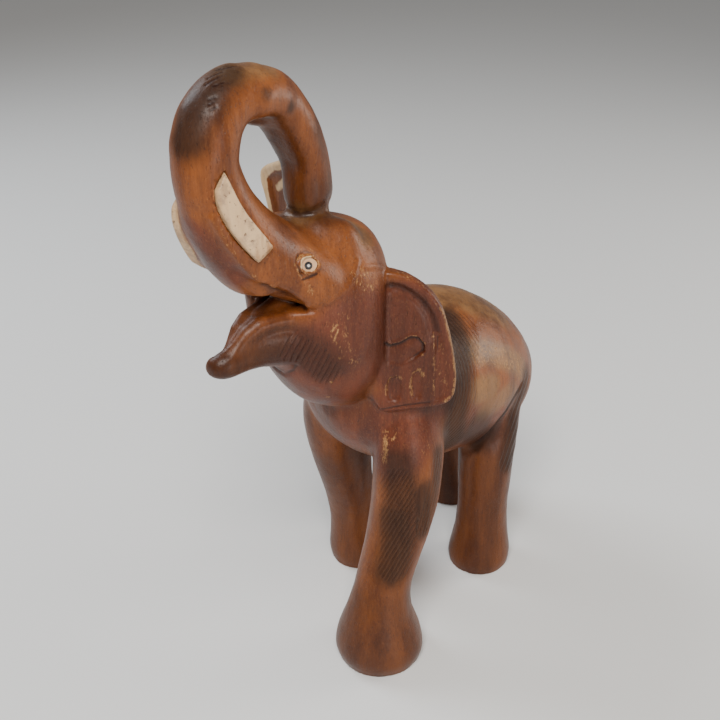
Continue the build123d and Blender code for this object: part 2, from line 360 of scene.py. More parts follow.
# along the left ear's carved lines, as (half width, height)
FOLD_RIDGE = (1.4, 0.7)
PANEL_RIDGE = (1.0, 0.6)
HEM_GROOVE = (0.9, -0.8)
RECESS_DEPTH = 2.3
RECESS_FADE = 8.0  # how far from the fold the recess runs out
PANEL_STEP = 0.9
FLUTE_DEPTH = 2.0

# the tusks: lower end, the next place up and the tip, the way they face and the cuts across their ends
TUSKS = {
    "left": ((24.6, -173.2, 309.8), (22.9, -178.1, 317.2), (13.6, -190.4, 355.5)),
    "right": ((-24, -170.7, 292.4), (-23.2, -176.3, 300.2), (-13.8, -192.6, 338)),
}
SIGN = {"left": 1, "right": -1}
TUSK_TURN = 14.0
TUSK_FACE = 4.0  # from the tusk's middle to its outer face
FACET = {"left": 2.6, "right": 6.0}
TUSK_ROUNDING = 0.7
TUSK_ARRIS = 0.5
TIP_HALF = 1.8  # half the tip's width
TIP_SLANT = 35.0  # the cut across the tip, in degrees from square across

# the left eye: its place, the way it looks and its long axis's tilt; the other mirrors it
EYE_AT = np.array([29.5, -148.0, 298.0])
EYE_LOOKS = (0.9, -0.3, 0.25)
EYE_TILT = -12.0
# in the eye's plane, backward and up: lids as rolls with a radius, folds as cuts with half width and depth
EYELIDS = [
    ([(-5.6, 0.5), (-5.2, 2.9), (-2.4, 5.1), (1.4, 5.2), (4.2, 2.7), (6.6, -0.2)], 1.2),
    ([(-5.6, 0.5), (-4.6, -1.8), (-1.8, -3.7), (0.8, -3.9), (4.6, -2.6), (6.6, -0.4)], 0.9),
]
LIDS_PROUD = 0.9
EYE_FOLDS = [
    ([(-8.5, 1.5), (-5.5, 5.6), (-1, 7.4), (3.5, 6.0), (9, 0.5)], 0.8, 1.1),
    ([(-5, 8.4), (0, 10), (5, 8.4), (9.5, 4)], 0.8, 0.6),
    ([(1, 9), (5, 6.4), (8.6, 2.6)], 0.6, 0.6),
    ([(-3, -7.4), (1, -6.4), (5.6, -5)], 0.9, 1.6),
    ([(-7, 2), (-5.4, -2), (-3, -5.6)], 0.7, 0.8),
]
EYE_RUBS = [
    ([(-7, 3.4), (-4, 5.4), (0, 6.2), (3.6, 4.4), (6.5, 1.4)], 0.2, 1.1, 0.75),
    ([(-3.5, 8.6), (1, 9.6), (4.5, 7.4), (8, 4)], 0.2, 1.2, 0.6),
    ([(-8.5, 1), (-6.6, -2.6), (-4, -6)], 0.3, 1.5, 0.7),
    ([(-1, -5), (2.6, -4.4)], 0.2, 0.9, 0.8),
    ([(-1.6, -8), (0.6, -11.5), (3, -15)], 0.6, 3.0, 0.6),
]
# painted shade in the folds round each eye: line, reach, fade, strength
EYE_SHADES = [
    ([(-3, -7.4), (1, -6.4), (5.6, -5)], 0.2, 1.0, 0.9),
    ([(-8.5, 1.5), (-5.5, 5.8), (-1, 7.4), (3.5, 6.0), (9, 0.5)], 0.1, 0.9, 0.5),
    ([(-7, 1), (-5.6, -2), (-3.2, -5.6)], 0.2, 0.9, 0.6),
]
# the pale wood round the inlay, above it and in front
EYE_BARE = [([(-4.3, -0.5), (-4.5, 2.4), (-3.2, 4.0), (0.5, 4.3)], 0.5, 0.8, 0.9)]

# the left ear's carving, in its own plane: out from the root and up
EAR_FOLD = [(-6, -10), (-4.6, -11.4), (0.7, -16), (6.5, -14.6), (12.3, -10.7), (16.9, -10.6), (21.2, -15.8)]
EAR_HOOK = [*EAR_FOLD, (21.6, -20.5), (17.3, -24.5)]
EAR_RECESS = [*EAR_HOOK, (8, -30), (-8, -28)]
EAR_PANEL_EDGE = [(26.2, -9.3), (26.9, -29.1), (27.6, -50)]
EAR_FLUTES = [((17.2, -43.5), 3.6, 10.5), ((3.6, -46.5), 4.8, 9)]  # middle, half width, half height
EAR_HEM = [(-4.2, -60.4), (10.3, -57.4), (25.4, -55.2)]
# worn lines on it, and lines of painted shade in its grooves and under its fold: line, reach, fade,
# strength
EAR_RUBS = [
    ([(31, 6), (33.5, -2.7), (37.7, -19), (40.2, -35.8), (39, -49.5), (34.4, -54.4)], 0.4, 1.5, 0.9),
    ([(5.7, 29.7), (14.2, 26.1), (22.9, 19.3), (31, 6)], 0.8, 3, 0.45),
    (EAR_FOLD, 0.2, 1.0, 0.35),
    (EAR_PANEL_EDGE, 0.2, 1.3, 0.6),
    ([(31.5, -16), (32.5, -44)], 2.0, 3.5, 0.4),
    ([(14, -50), (13.5, -40), (15, -34.5), (18.7, -32.7), (20.7, -37)], 0.3, 2.2, 0.75),
    ([(-1.3, -50), (-1.3, -42.9), (2.2, -38.1), (7, -38.1), (8.4, -44)], 0.3, 2.2, 0.6),
]
EAR_SHADES = [
    ([(-1, 22.3), (5.8, 21.1), (12.8, 17.4), (19.8, 11.2), (24.6, 3.6), (27.8, -6)], 0.8, 3.6, 0.5),
    (
        [(-3, -13), (0.7, -17.6), (6.5, -16.2), (12.3, -12.3), (16.9, -12.2), (20, -16.5), (20, -20.5)],
        0.2,
        2.4,
        0.5,
    ),
    (EAR_HEM, 0.1, 0.9, 0.8),
]

# ---- small helpers ----


def smoothstep(low, high, value):
    t = np.clip((value - low) / (high - low), 0.0, 1.0)
    return t * t * (3 - 2 * t)


def line_distance(points, line):
    """Distance of each point from a polyline, in as many dimensions as they have."""
    line = np.asarray(line, float)
    if len(line) == 1:
        return np.linalg.norm(points - line[0], axis=-1)
    best = None
    for start, end in zip(line[:-1], line[1:]):
        along = end - start
        t = np.clip((points - start) @ along / (along @ along), 0.0, 1.0)
        gap = np.linalg.norm(points - start - t[..., None] * along, axis=-1)
        best = gap if best is None else np.minimum(best, gap)
    return best


def near_line(points, line, radius, feather):
    """1 on the polyline out to radius, falling to 0 over feather."""
    return 1.0 - smoothstep(radius, radius + feather, line_distance(points, line))


def hatched_near(points, line, reach):
    return near_line(points, line, reach * HATCH_FULL, reach * (1 - HATCH_FULL))


def hatch(points):
    """(how strongly, in which stroke) each place is hatched."""
    amount, stroke = np.zeros(points.shape[:-1]), np.zeros(points.shape[:-1])
    for line, reach, across, spacing in HATCHES:
        here = hatched_near(points, line, reach)
        stroke = np.where(here > amount, points @ np.array(across) / spacing, stroke)
        amount = np.maximum(amount, here)
    line, reach, (y, z), spacing = FLANK_STROKES
    here = hatched_near(points, line, reach)
    stroke = np.where(here > amount, np.hypot(points[..., 1] - y, points[..., 2] - z) / spacing, stroke)
    return np.maximum(amount, here), stroke


def polygon_distance(points, polygon):
    """Signed distance in the plane from a closed outline, negative inside."""
    polygon = np.asarray(polygon, float)
    closed = np.vstack([polygon, polygon[:1]])
    gap = line_distance(points, closed)
    inside = np.zeros(points.shape[:-1], bool)
    for (x0, y0), (x1, y1) in zip(closed[:-1], closed[1:]):
        crosses = (y0 > points[..., 1]) != (y1 > points[..., 1])
        if y0 != y1:
            at = x0 + (points[..., 1] - y0) * (x1 - x0) / (y1 - y0)
            inside ^= crosses & (points[..., 0] < at)
    return np.where(inside, -gap, gap)


def rounded_outline(outline, steps=6):
    """A smooth closed curve through the outline's points."""
    points = np.asarray(outline, float)
    before, after, beyond = np.roll(points, 1, 0), np.roll(points, -1, 0), np.roll(points, -2, 0)
    curve = []
    for t in np.arange(steps) / steps:
        a = 2 * points
        b = (after - before) * t
        c = (2 * before - 5 * points + 4 * after - beyond) * t * t
        d = (3 * points - before - 3 * after + beyond) * t**3
        curve.append((a + b + c + d) / 2)
    return np.stack(curve, 1).reshape(-1, 2)


def tube_distance(points, stations):
    """Distance from a tube through (x, y, z, radius) stations."""
    best = None
    for start, end in zip(stations[:-1], stations[1:]):
        start, end = np.array(start, float), np.array(end, float)
        along = end - start
        t = np.clip((points - start[:3]) @ along[:3] / (along[:3] @ along[:3]), 0.0, 1.0)[..., None]
        radius = (start[3] + t * along[3])[..., 0]
        gap = np.linalg.norm(points - start[:3] - t * along[:3], axis=-1) - radius
        best = gap if best is None else np.minimum(best, gap)
    return best


def ridge(distance, half_width, height):
    """A rounded ridge, or with a negative height a groove."""
    return height * np.exp(-((distance / half_width) ** 2))


def smooth_max(a, b, radius):
    h = np.clip(0.5 + 0.5 * (a - b) / radius, 0.0, 1.0)
    return b + (a - b) * h + radius * h * (1 - h)


def smooth_min(a, b, radius):
    return -smooth_max(-a, -b, radius)


# ---- a solid as signed distances on a grid ----


class Solid:
    """Signed distances in millimetres, negative inside, on a grid of voxels."""

    def __init__(self, values, corner, voxel):
        self.values = values
        self.corner = corner  # grid index of the first value
        self.voxel = voxel

    @classmethod
    def of(cls, points, triangles, voxel, box=None):
        """The solid a mesh bounds; box = (corner, shape) lays it on another solid's grid."""
        spacing = openvdb.createLinearTransform(voxelSize=voxel)
        points32, triangles = points.astype(np.float32), triangles.astype(np.uint32)
        grid = openvdb.FloatGrid.createLevelSetFromPolygons(
            points32, triangles=triangles, transform=spacing, halfWidth=BAND
        )
        if box is None:
            corner = np.floor(points.min(0) / voxel).astype(int) - MARGIN
            shape = np.ceil(points.max(0) / voxel).astype(int) + MARGIN - corner + 1
        else:
            corner, shape = box
        values = np.zeros(tuple(int(n) for n in shape), np.float32)
        grid.copyToArray(values, ijk=tuple(int(n) for n in corner))
        return cls(values, corner, voxel)

    def axes(self):
        return [(self.corner[a] + np.arange(self.values.shape[a])) * self.voxel for a in range(3)]

    def sparse_places(self):
        """x, y and z over the grid, each along its own axis only."""
        return np.meshgrid(*self.axes(), indexing="ij", sparse=True)

    def region(self, low, high):
        """(slices, places) of the voxels inside a box."""
        slices, axes = [], []
        for a, axis in enumerate(self.axes()):
            start, stop = np.searchsorted(axis, [low[a], high[a]])
            slices.append(slice(int(start), int(stop)))
            axes.append(axis[start:stop])
        return tuple(slices), np.stack(np.meshgrid(*axes, indexing="ij"), -1)

    def blurred(self, radius):
        sigma = radius / self.voxel
        reach = int(math.ceil(2.5 * sigma))
        weights = np.exp(-0.5 * (np.arange(-reach, reach + 1) / sigma) ** 2)
        weights /= weights.sum()
        values = self.values
        for axis in range(3):
            pad = [(reach, reach) if a == axis else (0, 0) for a in range(3)]
            padded = np.pad(values, pad, mode="edge")
            length = values.shape[axis]
            total = np.zeros_like(values)
            for k, weight in enumerate(weights):
                cut = [slice(None)] * 3
                cut[axis] = slice(k, k + length)
                total += np.float32(weight) * padded[tuple(cut)]
            values = total
        return values

    def mesh(self):
        """(points, quads) of the surface."""
        grid = openvdb.FloatGrid(background=float(BAND * self.voxel))
        grid.transform = openvdb.createLinearTransform(voxelSize=self.voxel)
        grid.gridClass = openvdb.GridClass.LEVEL_SET
        grid.copyFromArray(self.values, ijk=tuple(int(n) for n in self.corner))
        points, quads = grid.convertToQuads(isovalue=0.0)
        return points.astype(float), quads[:, ::-1]


def mesh_arrays(obj):
    """(points in elephant millimetres, triangles) of a mesh object."""
    mesh = obj.data
    mesh.calc_loop_triangles()
    points = np.empty(len(mesh.vertices) * 3)
    mesh.vertices.foreach_get("co", points)
    triangles = np.empty(len(mesh.loop_triangles) * 3, np.int32)
    mesh.loop_triangles.foreach_get("vertices", triangles)
    return elephant_place(points.reshape(-1, 3)), triangles.reshape(-1, 3)


def solid_of(node, voxel):
    return Solid.of(*mesh_arrays(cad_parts[node]), voxel)


def laid_in(wood, node, move=(0, 0, 0)):
    """(slices, distances) of a small node in the part of the wood's grid round it."""
    points, triangles = mesh_arrays(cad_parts[node])
    points = points + np.array(move, float)
    low = np.floor(points.min(0) / wood.voxel).astype(int) - MARGIN
    shape = np.ceil(points.max(0) / wood.voxel).astype(int) + MARGIN - low
    slices = tuple(slice(int(a), int(a + n)) for a, n in zip(low - wood.corner, shape))
    return slices, Solid.of(points, triangles, wood.voxel, (low, shape)).values


def add_piece(name, points, quads, material, node):
    """A new smooth-shaded object that stands for a CAD node."""
    mesh = bpy.data.meshes.new(name)
    mesh.from_pydata(scene_place(points).tolist(), [], quads.tolist())
    mesh.polygons.foreach_set("use_smooth", np.ones(len(mesh.polygons), bool))
    mesh.update()
    obj = bpy.data.objects.new(name, mesh)
    bpy.context.scene.collection.objects.link(obj)
    mesh.materials.append(material)
    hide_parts(node)
    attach(obj, "root")
    return obj


def biggest_surface(points, quads):
    """The largest joined surface, without the closed bubbles that a cut can leave under a roll."""
    label = np.arange(len(points))
    joined = None
    while not np.array_equal(label, joined):
        joined = label
        lowest = joined[quads].min(axis=1)
        label = joined.copy()
        for k in range(4):
            np.minimum.at(label, quads[:, k], lowest)
        label = label[label]
    names, counts = np.unique(label, return_counts=True)
    kept = label == names[counts.argmax()]
    renumbered = np.cumsum(kept) - 1
    return points[kept], renumbered[quads[kept[quads[:, 0]]]]


# ---- the ears ----


def ear_axes(ear):
    angle = math.radians(ear["sweep"])
    outward = np.array([ear["side"] * math.cos(angle), math.sin(angle), 0.0])
    front = np.array([ear["side"] * math.sin(angle), -math.cos(angle), 0.0])
    return outward, front


def ear_coordinates(ear, points):
    """(out from the root, up, forward of the ear's plane) of each point."""
    outward, front = ear_axes(ear)
    offset = points - np.array(ear["root"], float)
    return offset @ outward, offset[..., 2], offset @ front


def left_ear_front(out, up, edge):
    """Height of the left ear's carved front face; edge is the depth in from its rim."""
    flat = np.stack([out, up], -1)
    height = np.full(out.shape, LEFT_FACE)
    upper = smoothstep(-30, -8, up) * smoothstep(-6, 2, out)
    for (place, half_width, rise), least in ((LEFT_RIM, LEFT_RIM_LEAST), (LEFT_CHANNEL, 0.0)):
        height += ridge(edge - place, half_width, least + rise * upper)
    fold = line_distance(flat, EAR_HOOK)
    recess = 1 - smoothstep(-1.0, 0.3, polygon_distance(flat, EAR_RECESS))
    height -= RECESS_DEPTH * recess * np.exp(-fold / RECESS_FADE)
    height += ridge(fold, *FOLD_RIDGE) * (1 - recess)
    height += ridge(line_distance(flat, EAR_PANEL_EDGE), *PANEL_RIDGE)
    beyond_panel = smoothstep(27, 28.5, out) * (1 - smoothstep(-12, -6, up))
    height -= PANEL_STEP * beyond_panel * smoothstep(3, 5, edge)
    for (middle, centre), half, tall in EAR_FLUTES:
        round_flute = ((out - middle) / half) ** 2 + (np.abs(up - centre) / tall) ** 3
        height -= FLUTE_DEPTH * np.sqrt(np.clip(1 - round_flute, 0, None))
    return height + ridge(line_distance(flat, EAR_HEM), *HEM_GROOVE)


def right_ear_front(out, up, edge):
    """The right ear is a plain cupped panel with a broad bevelled rim."""
    place, half_width, rise = RIGHT_RIM
    return RIGHT_FACE + ridge(edge - place, half_width, rise) - RIGHT_CUP * smoothstep(6, 9, edge)


def rim_distances(ear, flat):
    """(signed distance from an ear's outline, distance from its free edge) in its plane."""
    curve = rounded_outline(ear["outline"])
    return polygon_distance(flat, curve), line_distance(flat, curve[curve[:, 0] > RIM_STARTS])


def ear_solid(ear, front_height, points):
    """Signed distance of an ear at the given places."""
    out, up, forward = ear_coordinates(ear, points)
    flat = np.stack([out, up], -1)
    outline, rim = rim_distances(ear, flat)
    front = forward - front_height(out, up, rim)
    taper_out, taper = EAR_BACK_TAPER
    back = -forward - EAR_THICK_BACK + taper * smoothstep(0, taper_out, out)
    plate = smooth_max(front, back, EAR_BACK_ROUND)
    return smooth_max(plate, outline, EAR_EDGE_ROUND)


def add_ear(wood, ear, front_height):
    root = np.array(ear["root"], float)
    slices, places = wood.region(root - EAR_REACH, root + EAR_REACH)
    values = wood.values[slices]
    out, _, forward = ear_coordinates(ear, places)
    near = np.abs(forward) < EAR_HALF_DEPTH
    carved = np.full(values.shape, FAR)
    carved[near] = ear_solid(ear, front_height, places[near])
    wood.values[slices] = np.where(out > EAR_BEGINS, smooth_min(values, carved, EAR_BLEND), values)


def cut_ear(wood, ear, front_height):
    """Clear the plain plate away in front of the carved face."""
    root = np.array(ear["root"], float)
    slices, places = wood.region(root - EAR_REACH, root + EAR_REACH)
    out, up, forward = ear_coordinates(ear, places)
    lowest, highest = CLEARED_FORWARD
    near = (forward > lowest) & (forward < highest) & (out > CLEARED_FROM)
    out, up, forward = out[near], up[near], forward[near]
    outline, rim = rim_distances(ear, np.stack([out, up], -1))
    above = front_height(out, up, rim) - forward
    beside = np.maximum(ear["clear"] - out, outline - CLEARED_PAST_RIM)
    cutter = smooth_max(smooth_max(above, beside, 5.0), forward - CLEARED_DEPTH, 1.0)
    values = wood.values[slices]
    values[near] = smooth_max(values[near], -cutter, 0.6)
    wood.values[slices] = values


# ---- the carved block ----


def mirror_below_floor(wood):
    """Run the legs on below the floor, so that rounding leaves the soles flat."""
    heights = wood.axes()[2]
    floor = int(np.argmin(np.abs(heights)))
    for k in range(floor):
        wood.values[:, :, k] = wood.values[:, :, 2 * floor - k]


def undulation(wood, cell):
    """Smooth random heights from -1 to 1, about one swell per cell."""
    sizes = wood.values.shape
    coarse = [int(n * wood.voxel / cell) + 3 for n in sizes]
    values = np.random.default_rng(5).uniform(-1, 1, coarse).astype(np.float32)
    for axis, size in enumerate(sizes):
        at = np.arange(size) * wood.voxel / cell
        low = at.astype(int)
        shape = [size if a == axis else 1 for a in range(3)]
        part = smoothstep(0, 1, at - low).astype(np.float32).reshape(shape)
        values = values.take(low, axis) * (1 - part) + values.take(low + 1, axis) * part
    return values


def cut(wood, line, width, depth):
    line = np.asarray(line, float)
    reach = CUT_REACH * width
    slices, places = wood.region(line.min(0) - reach, line.max(0) + reach)
    wood.values[slices] += ridge(line_distance(places, line), width, depth)


def add_roll(wood, stations, blend):
    stations = np.asarray(stations, float)
    reach = stations[:, 3].max() + 2 * blend
    slices, places = wood.region(stations[:, :3].min(0) - reach, stations[:, :3].max(0) + reach)
    wood.values[slices] = smooth_min(wood.values[slices], tube_distance(places, stations), blend)


def gouge(wood):
    """Cut the hatched patches as rows of shallow strokes."""
    for patch in (*HATCHES, FLANK_STROKES):
        line = np.array(patch[0], float)
        slices, places = wood.region(line.min(0) - GOUGE_REACH, line.max(0) + GOUGE_REACH)
        near = np.abs(wood.values[slices]) < GOUGE_SHELL
        amount, stroke = hatch(places[near])
        groove = 0.5 - 0.5 * np.cos(2 * math.pi * stroke)
        wood.values[slices][near] += (GOUGE_DEPTH * groove * amount).astype(np.float32)


def eye_axes():
    """(backward, up, outward) of the left eye's plane."""
    outward = np.array(EYE_LOOKS) / np.linalg.norm(EYE_LOOKS)
    back = np.array([0.0, 1.0, 0.0]) - outward * outward[1]
    back /= np.linalg.norm(back)
    up = np.cross(outward, back)
    tilt = math.radians(EYE_TILT)
    return back * math.cos(tilt) + up * math.sin(tilt), up * math.cos(tilt) - back * math.sin(tilt), outward


def cut_round_eyes(wood):
    back, up, outward = eye_axes()
    for side in (1, -1):
        mirror = np.array([side, 1, 1])
        for outline, radius in EYELIDS:
            line = [(EYE_AT + back * u + up * v + outward * LIDS_PROUD) * mirror for u, v in outline]
            add_roll(wood, [(*place, radius) for place in line], LID_BLEND)
        for outline, width, depth in EYE_FOLDS:
            line = [(EYE_AT + back * u + up * v) * mirror for u, v in outline]
            cut(wood, line, width, depth)


def beyond_tusk(side, axes):
    """Distance beyond the cuts across a tusk's ends, negative in the part that stays."""
    foot, rise, tip = np.array(TUSKS[side], float)
    turn, slant = math.radians(TUSK_TURN), math.radians(TIP_SLANT)
    outward = np.array([SIGN[side] * math.cos(turn), -math.sin(turn), 0.0])
    forward = np.array([-SIGN[side] * math.sin(turn), -math.cos(turn), 0.0])
    up = (rise - foot) / np.linalg.norm(rise - foot)
    under = (outward - up) / math.sqrt(2)
    over = forward * math.cos(slant) + np.array([0.0, 0.0, math.sin(slant)])
    corners = [(foot + outward * TUSK_FACE - under * FACET[side], under), (tip - forward * TIP_HALF, over)]
    grid = np.meshgrid(*axes, indexing="ij", sparse=True)
    gaps = [sum((grid[a] - corner[a]) * facing[a] for a in range(3)) for corner, facing in corners]
    return np.maximum(*gaps)


def trimmed_ends(wood, side, slices):
    """Distance beyond a tusk's trimmed ends in a part of the wood's grid."""
    return beyond_tusk(side, [axis[part] for axis, part in zip(wood.axes(), slices)])


def fill_beds(wood):
    """Close the plain beds of the tusks and eyes, so that rounding doesn't soften their edges."""
    for side, sign in SIGN.items():
        for node, sink in (("tusk_", TUSK_SINK), ("eye_white_", EYE_SINK)):
            slices, filling = laid_in(wood, node + side, (-sign * sink, 0, 0))
            wood.values[slices] = np.minimum(wood.values[slices], filling)
        slices, flush = laid_in(wood, "tusk_" + side, (-sign * TUSK_PROUD, 0, 0))
        flush = np.maximum(flush, -trimmed_ends(wood, side, slices))
        wood.values[slices] = np.minimum(wood.values[slices], flush)


def cut_beds(wood):
    for side in SIGN:
        slices, inlay = laid_in(wood, "eye_white_" + side)
        wood.values[slices] = np.maximum(wood.values[slices], BED_GAP - inlay)
        slices, inlay = laid_in(wood, "tusk_" + side)
        inlay = np.maximum(inlay, trimmed_ends(wood, side, slices))
        wood.values[slices] = np.maximum(wood.values[slices], BED_GAP - inlay)


def round_off(wood):
    """Smooth the block, less at the mouth and where the trunk's tip meets the crown."""
    soft = wood.blurred(ROUNDING)
    crisp = wood.blurred(CRISP_ROUNDING)
    _, y, z = wood.sparse_places()
    mouth = smoothstep(-128, -140, y) * smoothstep(226, 236, z) * (1 - smoothstep(280, 290, z))
    tip = smoothstep(-138, -132, y) * (1 - smoothstep(-104, -98, y)) * smoothstep(303, 309, z)
    tip = tip * (1 - smoothstep(322, 332, z))
    wood.values = (soft + (crisp - soft) * np.maximum(mouth, tip)).astype(np.float32)


def add_masses(wood):
    add_roll(wood, TONGUE, TONGUE_BLEND)
    for side in (1, -RIGHT_LIP):
        add_roll(wood, [(side * x, y, z, radius) for x, y, z, radius in LOWER_LIP], LIP_BLEND)
    add_roll(wood, FOREHEAD, FOREHEAD_BLEND)
    add_roll(wood, LOOP_TOP, LOOP_BLEND)
    for cell, height in UNDULATIONS:
        wood.values += np.float32(height) * undulation(wood, cell)


def carve_wood():
    """The whole block, smoothed, with its ears, sockets and tusk beds cut."""
    wood = solid_of("carved_body", WOOD_VOXEL)
    fill_beds(wood)
    mirror_below_floor(wood)
    round_off(wood)
    add_masses(wood)
    cut_round_eyes(wood)
    for line, width, depth in CUTS:
        cut(wood, line, width, depth)
    for line in NICKS:
        cut(wood, line, NICK_HALF, NICK_DEPTH)
    gouge(wood)
    for ear, front_height in ((LEFT_EAR, left_ear_front), (RIGHT_EAR, right_ear_front)):
        add_ear(wood, ear, front_height)
        cut_ear(wood, ear, front_height)
    cut_beds(wood)
    above_floor = -wood.sparse_places()[2]
    wood.values = np.maximum(wood.values, above_floor).astype(np.float32)
    return wood


# ---- node materials ----


class Graph:
    """A material's nodes, built one call at a time."""

    def __init__(self, name):
        self.material = bpy.data.materials.new(name)
        self.material.use_nodes = True
        self.tree = self.material.node_tree
        self.tree.nodes.clear()
        self.surface = self.add("ShaderNodeBsdfPrincipled")
        output = self.add("ShaderNodeOutputMaterial")
        self.tree.links.new(self.surface.outputs["BSDF"], output.inputs["Surface"])
        self.place = self.add("ShaderNodeTexCoord").outputs["Object"]

    def add(self, kind, **settings):
        node = self.tree.nodes.new(kind)
        for name, value in settings.items():
            setattr(node, name, value)
        return node

    def feed(self, socket, value):
        if isinstance(value, bpy.types.NodeSocket):
            self.tree.links.new(value, socket)
        else:
            socket.default_value = value

    def set(self, **inputs):
        for name, value in inputs.items():
            self.feed(self.surface.inputs[name.replace("_", " ")], value)

    def math(self, operation, a, b=0.0, clamp=False):
        node = self.add("ShaderNodeMath", operation=operation, use_clamp=clamp)
        self.feed(node.inputs[0], a)
        self.feed(node.inputs[1], b)
        return node.outputs[0]

    def times(self, a, b):
        return self.math("MULTIPLY", a, b)

    def plus(self, a, b):
        return self.math("ADD", a, b)

    def window(self, value, low, high, to_low=0.0, to_high=1.0):
        node = self.add("ShaderNodeMapRange", interpolation_type="SMOOTHSTEP")
        for k, item in enumerate((value, low, high, to_low, to_high)):
            self.feed(node.inputs[k], item)
        return node.outputs[0]

    def mix(self, amount, a, b, blend="MIX"):
        node = self.add("ShaderNodeMix", data_type="RGBA", blend_type=blend)
        self.feed(node.inputs["Factor"], amount)
        self.feed(node.inputs[6], a)
        self.feed(node.inputs[7], b)
        return node.outputs[2]

    def stretched(self, scale):
        node = self.add("ShaderNodeVectorMath", operation="MULTIPLY")
        self.feed(node.inputs[0], self.place)
        node.inputs[1].default_value = scale
        return node.outputs[0]

    def noise(self, scale, detail=3.0, rough=0.55, vector=None, warp=0.0):
        node = self.add("ShaderNodeTexNoise")
        self.feed(node.inputs["Vector"], self.place if vector is None else vector)
        node.inputs["Scale"].default_value = scale
        node.inputs["Detail"].default_value = detail
        node.inputs["Roughness"].default_value = rough
        node.inputs["Distortion"].default_value = warp
        return node.outputs["Fac"]

    def attribute(self, name):
        return self.add("ShaderNodeAttribute", attribute_name=name).outputs["Fac"]

    def bump(self, height, distance, strength=1.0):
        """Height in units of distance (metres)."""
        node = self.add("ShaderNodeBump")
        node.inputs["Strength"].default_value = strength
        node.inputs["Distance"].default_value = distance
        self.feed(node.inputs["Height"], height)
        self.feed(self.surface.inputs["Normal"], node.outputs["Normal"])


def colour(red, green, blue):
    """An 8-bit screen colour as the scene-linear colour of the same look."""
    screen = [c / 255 for c in (red, green, blue)]
    return (*[c / 12.92 if c < 0.04 else ((c + 0.055) / 1.055) ** 2.4 for c in screen], 1.0)


PORE_BROWN = colour(56, 26, 12)
TOOL_MARKS = 0.0006  # metres of relief in the wood's bump
FINE_GRAIN = 0.0001


def centred(g, value, by):
    """A noise shifted to lie about zero, then scaled."""
    return g.times(g.plus(value, -0.5), by)


def stained(g, figure, fine, pores):
    """The stain's colour: orange or plum along the grain, golden where it has faded and where sheen and
    highlights are painted.
    """
    streaks = g.window(g.plus(figure, g.times(fine, 0.35)), 0.45, 0.85)
    orange = g.mix(streaks, colour(84, 41, 16), colour(132, 73, 31))
    plum = g.mix(streaks, colour(70, 31, 18), colour(106, 52, 31))
    gold = g.mix(streaks, colour(88, 60, 34), colour(142, 108, 68))
    blotch = g.noise(14, 3, 0.5)
    base = g.mix(g.window(g.plus(g.attribute("purple"), centred(g, blotch, 0.7)), 0.2, 0.8), orange, plum)
    # faded gold, also laid as painted sheen and highlights
    faded_and_sheen = g.window(g.plus(g.attribute("olive_and_sheen"), centred(g, fine, 0.5)), 0.1, 1.0, 0.0, 0.75)
    base = g.mix(faded_and_sheen, base, gold)
    base = g.mix(g.times(pores, 0.55), base, PORE_BROWN)
    return g.mix(g.window(fine, 0.45, 0.75, 0.0, 0.45), base, PORE_BROWN)


def worn(g, base, fine):
    """(colour, how worn and sheened) with the stain worn or scraped off in flecks, and pale painted sheen
    on the rump and cheek.
    """
    flecks = g.noise(1000, 2, 0.6, g.stretched((1.0, 1.0, 0.5)))
    base = g.mix(g.window(flecks, 0.50, 0.75, 0.0, 0.12), base, colour(182, 122, 72))
    pale = g.mix(g.window(g.noise(2200, 1, 0.5), 0.35, 0.65), colour(152, 104, 58), colour(206, 160, 104))
    scuffed = g.noise(330, 3, 0.65, g.stretched((1.0, 1.0, 0.45)))
    broken = g.plus(centred(g, scuffed, 1.2), centred(g, flecks, 1.6))
    # pale wear, with painted sheen on the rump and cheek
    wear_and_sheen = g.window(g.plus(g.attribute("rubbed_and_sheen"), broken), 0.45, 1.05)
    base = g.mix(g.times(wear_and_sheen, 0.65), base, pale)
    patchy = g.plus(g.attribute("bare"), centred(g, g.noise(200, 3, 0.6), 0.7))
    scraped = g.window(patchy, 0.35, 0.75, 0.0, 0.92)
    return g.mix(scraped, base, g.mix(fine, colour(186, 146, 98), colour(232, 206, 166))), wear_and_sheen


def darkened(g, base, fine):
    """(colour, how charred and shaded) with the scorches, painted shade in creases, recesses and hollows,
    and the legs darker towards the feet.
    """
    burnt_and_shaded = g.attribute("burnt_and_shaded")
    ragged = centred(g, g.noise(90, 4, 0.6, g.stretched((1, 1, 0.4))), 0.6)
    char_and_shade = g.window(g.plus(burnt_and_shaded, g.times(ragged, burnt_and_shaded)), 0.05, 1.0)
    # charcoal colour for the scorches, also laid as painted shade on the falling trunk, under the belly's
    # crease and under the trunk's tip
    base = g.mix(g.times(char_and_shade, 0.84), base, g.mix(fine, colour(22, 16, 14), colour(54, 40, 32)))
    # painted shade in the mouth, under the loop, round the trunk's tip, beside the ear and under the belly;
    # the legs darker towards the feet
    base = g.mix(g.times(g.attribute("shaded_and_darker"), 0.55), base, colour(30, 12, 5))
    # painted shade in the hollows, folds, grooves and nicks
    shade_in_hollows = g.window(g.attribute("hollow_shade"), 0.1, 0.8)
    return g.mix(g.times(shade_in_hollows, 0.8), base, colour(34, 14, 9)), char_and_shade


